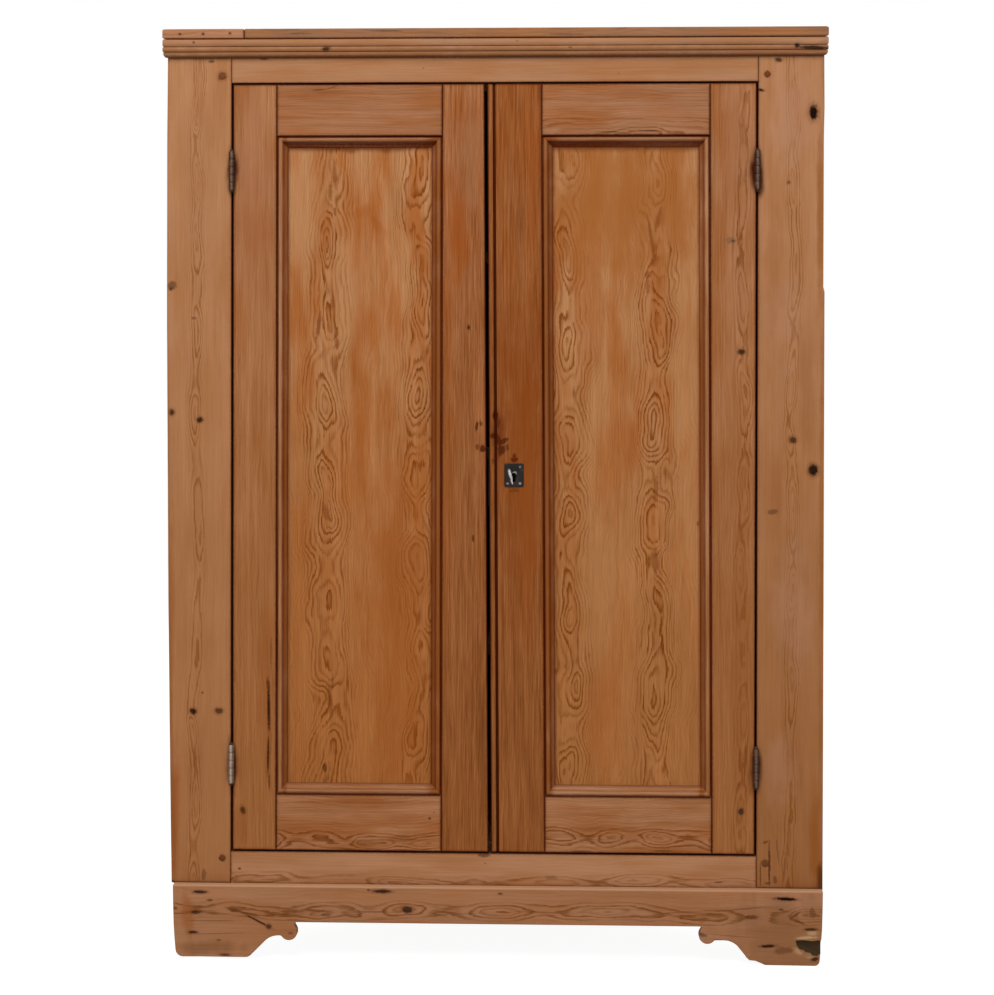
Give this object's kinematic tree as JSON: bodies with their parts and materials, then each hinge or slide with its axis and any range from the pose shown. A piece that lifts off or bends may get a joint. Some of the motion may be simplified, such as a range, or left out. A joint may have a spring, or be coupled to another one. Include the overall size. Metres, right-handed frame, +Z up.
{
  "type": "corner cabinet",
  "caption": "Pine corner cupboard of triangular plan: a flat framed front with panelled doors, a reeded cornice, a sawn bracket plinth and shelves inside.",
  "frame": {"origin": "on the floor, at the middle of the outline box in plan", "axes": "+Z up, the front faces -Y, +X to the right of someone who faces the front"},
  "size_m": [1.132, 0.5785, 1.585],
  "materials": {
    "frame_pine": "waxed stripped pine, worn",
    "door_pine": "waxed stripped pine, worn",
    "panel_pine": "waxed stripped pine",
    "moulding_pine": "waxed stripped pine",
    "carcase_pine": "dry sawn pine",
    "peg_wood": "waxed oak",
    "hinge_iron": "worn dark iron",
    "fixing_iron": "dull dark iron",
    "lock_iron": "dull sheet iron",
    "plate_iron": "dark iron, rubbed bright"
  },
  "bodies": {
    "cupboard": {"left_stile": "frame_pine", "right_stile": "frame_pine", "top_rail": "frame_pine", "bottom_rail": "frame_pine", "frame_pegs": "peg_wood", "plinth_board": "frame_pine", "foot_blocks": "carcase_pine", "corner_post": "carcase_pine", "bottom_board": "carcase_pine", "lower_shelf": "carcase_pine", "middle_shelf": "carcase_pine", "upper_shelf": "carcase_pine", "shelf_battens": "carcase_pine", "door_stop": "carcase_pine", "top_boards": "carcase_pine", "cap_strips": "frame_pine", "cornice_moulding": "frame_pine", "left_wall_front_board": "carcase_pine", "left_wall_middle_board": "carcase_pine", "left_wall_back_board": "carcase_pine", "right_wall_front_board": "carcase_pine", "right_wall_middle_board": "carcase_pine", "right_wall_back_board": "carcase_pine", "wall_nails": "fixing_iron", "left_upper_hinge_frame_leaf": "hinge_iron", "left_lower_hinge_frame_leaf": "hinge_iron", "right_upper_hinge_frame_leaf": "hinge_iron", "right_lower_hinge_frame_leaf": "hinge_iron", "hinge_pins": "hinge_iron", "frame_screws": "fixing_iron"},
    "left_door": {"left_door_hinge_stile": "door_pine", "left_door_meeting_stile": "door_pine", "left_door_top_rail": "door_pine", "left_door_bottom_rail": "door_pine", "left_door_panel": "panel_pine", "left_door_moulding": "moulding_pine", "left_upper_hinge_door_leaf": "hinge_iron", "left_lower_hinge_door_leaf": "hinge_iron", "left_door_screws": "fixing_iron", "top_bolt_plate": "fixing_iron", "bottom_bolt_plate": "fixing_iron", "lock_keeper": "lock_iron"},
    "right_door": {"right_door_hinge_stile": "door_pine", "right_door_meeting_stile": "door_pine", "right_door_top_rail": "door_pine", "right_door_bottom_rail": "door_pine", "right_door_panel": "panel_pine", "right_door_moulding": "moulding_pine", "right_upper_hinge_door_leaf": "hinge_iron", "right_lower_hinge_door_leaf": "hinge_iron", "right_door_screws": "fixing_iron", "escutcheon": "plate_iron", "escutcheon_pins": "plate_iron", "lock_case": "lock_iron", "lock_plate": "lock_iron", "lock_spring": "lock_iron"},
    "top_bolt_rod": {"top_bolt": "fixing_iron"},
    "bottom_bolt_rod": {"bottom_bolt": "fixing_iron"},
    "lock_bolt_bar": {"lock_bolt": "lock_iron"}
  },
  "joints": [
    {"name": "left_door_hinge", "type": "hinge", "parent": "cupboard", "child": "left_door", "pos_m": [-0.4465, -0.27755, 0.8375], "axis": [0, 0, -1], "range_deg": [0, 135]},
    {"name": "right_door_hinge", "type": "hinge", "parent": "cupboard", "child": "right_door", "pos_m": [0.4465, -0.27755, 0.8375], "axis": [0, 0, 1], "range_deg": [0, 135]},
    {"name": "top_bolt_slide", "type": "slide", "parent": "left_door", "child": "top_bolt_rod", "axis": [0, 0, 1], "range_m": [0, 0.014]},
    {"name": "bottom_bolt_slide", "type": "slide", "parent": "left_door", "child": "bottom_bolt_rod", "axis": [0, 0, -1], "range_m": [0, 0.014]},
    {"name": "lock_bolt_slide", "type": "slide", "parent": "right_door", "child": "lock_bolt_bar", "axis": [-1, 0, 0], "range_m": [0, 0.014]}
  ]
}
